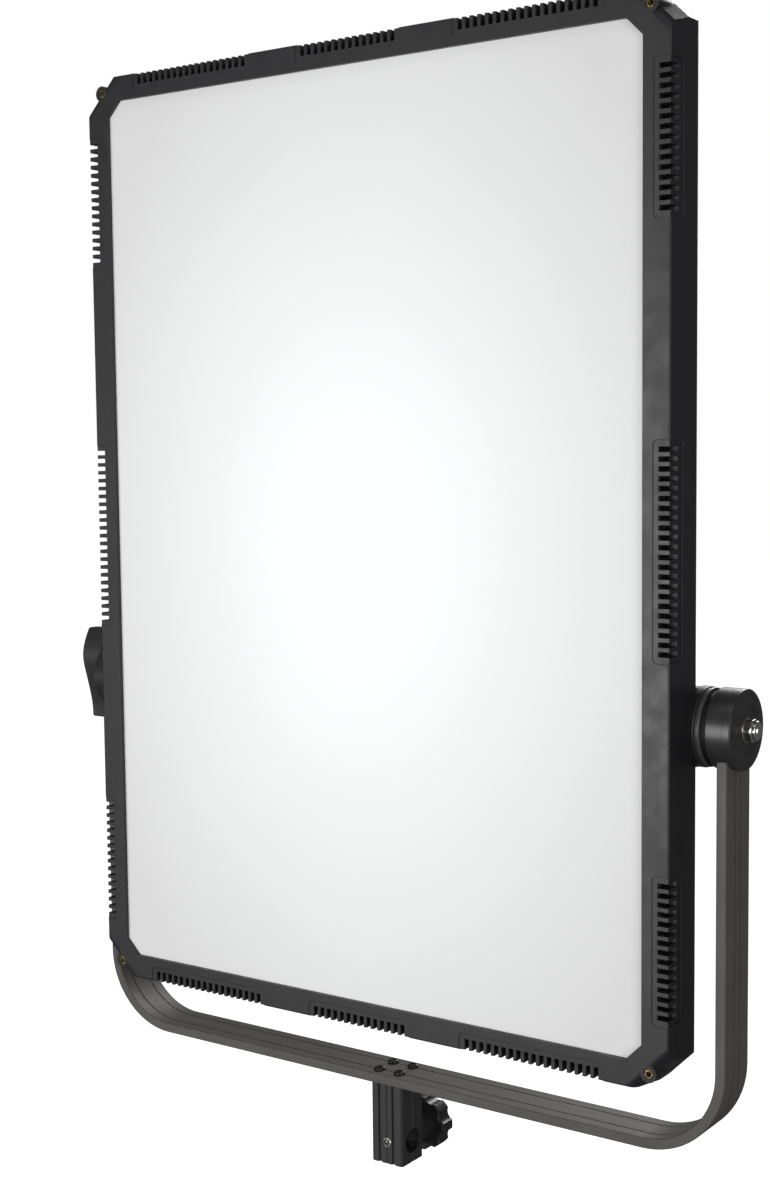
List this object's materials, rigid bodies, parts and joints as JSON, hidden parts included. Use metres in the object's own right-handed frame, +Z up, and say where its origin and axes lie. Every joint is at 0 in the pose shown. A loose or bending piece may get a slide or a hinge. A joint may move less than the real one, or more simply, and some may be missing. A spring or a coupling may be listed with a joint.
{
  "type": "led panel light",
  "caption": "Tall flat LED soft light in a vented frame on a U-shaped tilting yoke with a stand receiver, paddle tilt lock and star clamp knob.",
  "frame": {"origin": "centre of the mouth of the vertical stand socket, under the middle of the yoke", "axes": "+Z up, the light faces -Y, +X to the right as the light is seen from the front"},
  "size_m": [0.5302, 0.0973, 0.7365],
  "materials": {
    "bezel_plastic": "fine-grained matt black moulding",
    "shell_metal": "matt black powder coat",
    "diffuser_sheet": "milky white frosted acrylic",
    "reflector_white": "white reflector",
    "bare_aluminium": "bare sheet",
    "led_white": "white strip board",
    "lens_clear": "clear lens over a yellow phosphor",
    "brass_insert": "plain turned brass",
    "board_green": "green lacquered circuit board",
    "supply_case": "folded sheet",
    "housing_plastic": "fine-grained matt black moulding",
    "display_glass": "dark tinted window",
    "knob_plastic": "matt black moulding",
    "button_rubber": "dark grey silicone",
    "rocker_plastic": "gloss black",
    "socket_plastic": "black moulding",
    "contact_metal": "plated contacts",
    "cast_black": "black coated casting",
    "hub_plastic": "satin black moulding",
    "washer_rubber": "black friction washer",
    "bright_steel": "bright zinc plated steel",
    "black_screw": "black oxide steel",
    "yoke_anodised": "dark warm grey anodised extrusion",
    "block_anodised": "black anodised extrusion"
  },
  "bodies": {
    "yoke": {"yoke_bar": "yoke_anodised", "stand_block": "block_anodised", "bar_screws": "black_screw", "front_insert": "bright_steel", "right_friction_washer": "washer_rubber", "right_hub": "hub_plastic", "right_cap": "hub_plastic", "left_friction_washer": "washer_rubber", "left_hub": "hub_plastic", "left_cap": "hub_plastic"},
    "panel": {"front_bezel": "bezel_plastic", "corner_inserts": "brass_insert", "rear_shell": "shell_metal", "cover_posts": "housing_plastic", "cover_screws": "black_screw", "diffuser": "diffuser_sheet", "light_box": "reflector_white", "heat_spreader": "bare_aluminium", "led_strips": "led_white", "led_lenses": "lens_clear", "standoffs": "brass_insert", "power_supply": "supply_case", "driver_board": "board_green", "driver_parts": "socket_plastic", "board_posts": "brass_insert", "display_module": "socket_plastic", "button_switches": "socket_plastic", "encoder_bodies": "supply_case", "control_housing": "housing_plastic", "control_board": "board_green", "display_window": "display_glass", "switch_frame": "socket_plastic", "power_inlet": "socket_plastic", "inlet_pins": "contact_metal", "data_in_socket": "socket_plastic", "data_in_pins": "contact_metal", "data_out_socket": "socket_plastic", "right_pivot_bracket": "cast_black", "left_pivot_bracket": "cast_black", "bracket_screws": "black_screw", "pivot_stud": "bright_steel", "pivot_washer": "bright_steel", "pivot_nut": "bright_steel", "right_pivot_flange": "hub_plastic", "right_pivot_ring": "cast_black", "left_pivot_flange": "hub_plastic", "left_pivot_ring": "cast_black"},
    "brightness_dial": {"brightness_knob": "knob_plastic", "brightness_shaft": "bare_aluminium"},
    "colour_dial": {"colour_knob": "knob_plastic", "colour_shaft": "bare_aluminium"},
    "left_button": {"left_button": "button_rubber"},
    "middle_button": {"middle_button": "button_rubber"},
    "right_button": {"right_button": "button_rubber"},
    "power_rocker": {"power_rocker": "rocker_plastic"},
    "tilt_clamp": {"tilt_washer": "bright_steel", "tilt_stud": "bright_steel"},
    "tilt_paddle": {"tilt_paddle": "knob_plastic"},
    "stand_clamp": {"clamp_screw": "bright_steel"},
    "star_knob": {"star_knob": "knob_plastic"}
  },
  "joints": [
    {"name": "tilt", "type": "hinge", "parent": "yoke", "child": "panel", "pos_m": [0, 0, 0.313], "axis": [1, 0, 0], "range_deg": [-150, 150]},
    {"name": "tilt_clamp_travel", "type": "slide", "parent": "yoke", "child": "tilt_clamp", "axis": [-1, 0, 0], "range_m": [0, 0.0025]},
    {"name": "tilt_lock_turn", "type": "hinge", "parent": "tilt_clamp", "child": "tilt_paddle", "pos_m": [-0.262, 0, 0.313], "axis": [-1, 0, 0], "range_deg": [0, 720]},
    {"name": "stand_clamp_travel", "type": "slide", "parent": "yoke", "child": "stand_clamp", "axis": [0, 1, 0], "range_m": [-0.0025, 0]},
    {"name": "stand_lock_turn", "type": "hinge", "parent": "stand_clamp", "child": "star_knob", "pos_m": [0, 0.034, 0.0145], "axis": [0, 1, 0], "range_deg": [-720, 0]},
    {"name": "brightness_turn", "type": "hinge", "parent": "panel", "child": "brightness_dial", "pos_m": [0.066, 0.0455, 0.3095], "axis": [0, 1, 0], "continuous": true},
    {"name": "colour_turn", "type": "hinge", "parent": "panel", "child": "colour_dial", "pos_m": [-0.066, 0.0455, 0.3095], "axis": [0, 1, 0], "continuous": true},
    {"name": "left_button_press", "type": "slide", "parent": "panel", "child": "left_button", "axis": [0, -1, 0], "range_m": [0, 0.0012], "stiffness_N_per_m": 600},
    {"name": "middle_button_press", "type": "slide", "parent": "panel", "child": "middle_button", "axis": [0, -1, 0], "range_m": [0, 0.0012], "stiffness_N_per_m": 600},
    {"name": "right_button_press", "type": "slide", "parent": "panel", "child": "right_button", "axis": [0, -1, 0], "range_m": [0, 0.0012], "stiffness_N_per_m": 600},
    {"name": "power_rock", "type": "hinge", "parent": "panel", "child": "power_rocker", "pos_m": [0.084, 0.0385, 0.2155], "axis": [1, 0, 0], "range_deg": [-12, 0]}
  ],
  "couplings": [
    {"joint": "tilt_lock_turn", "follows": "tilt_clamp_travel", "rad_per_m": 5026.5},
    {"joint": "stand_lock_turn", "follows": "stand_clamp_travel", "rad_per_m": 5026.5}
  ]
}
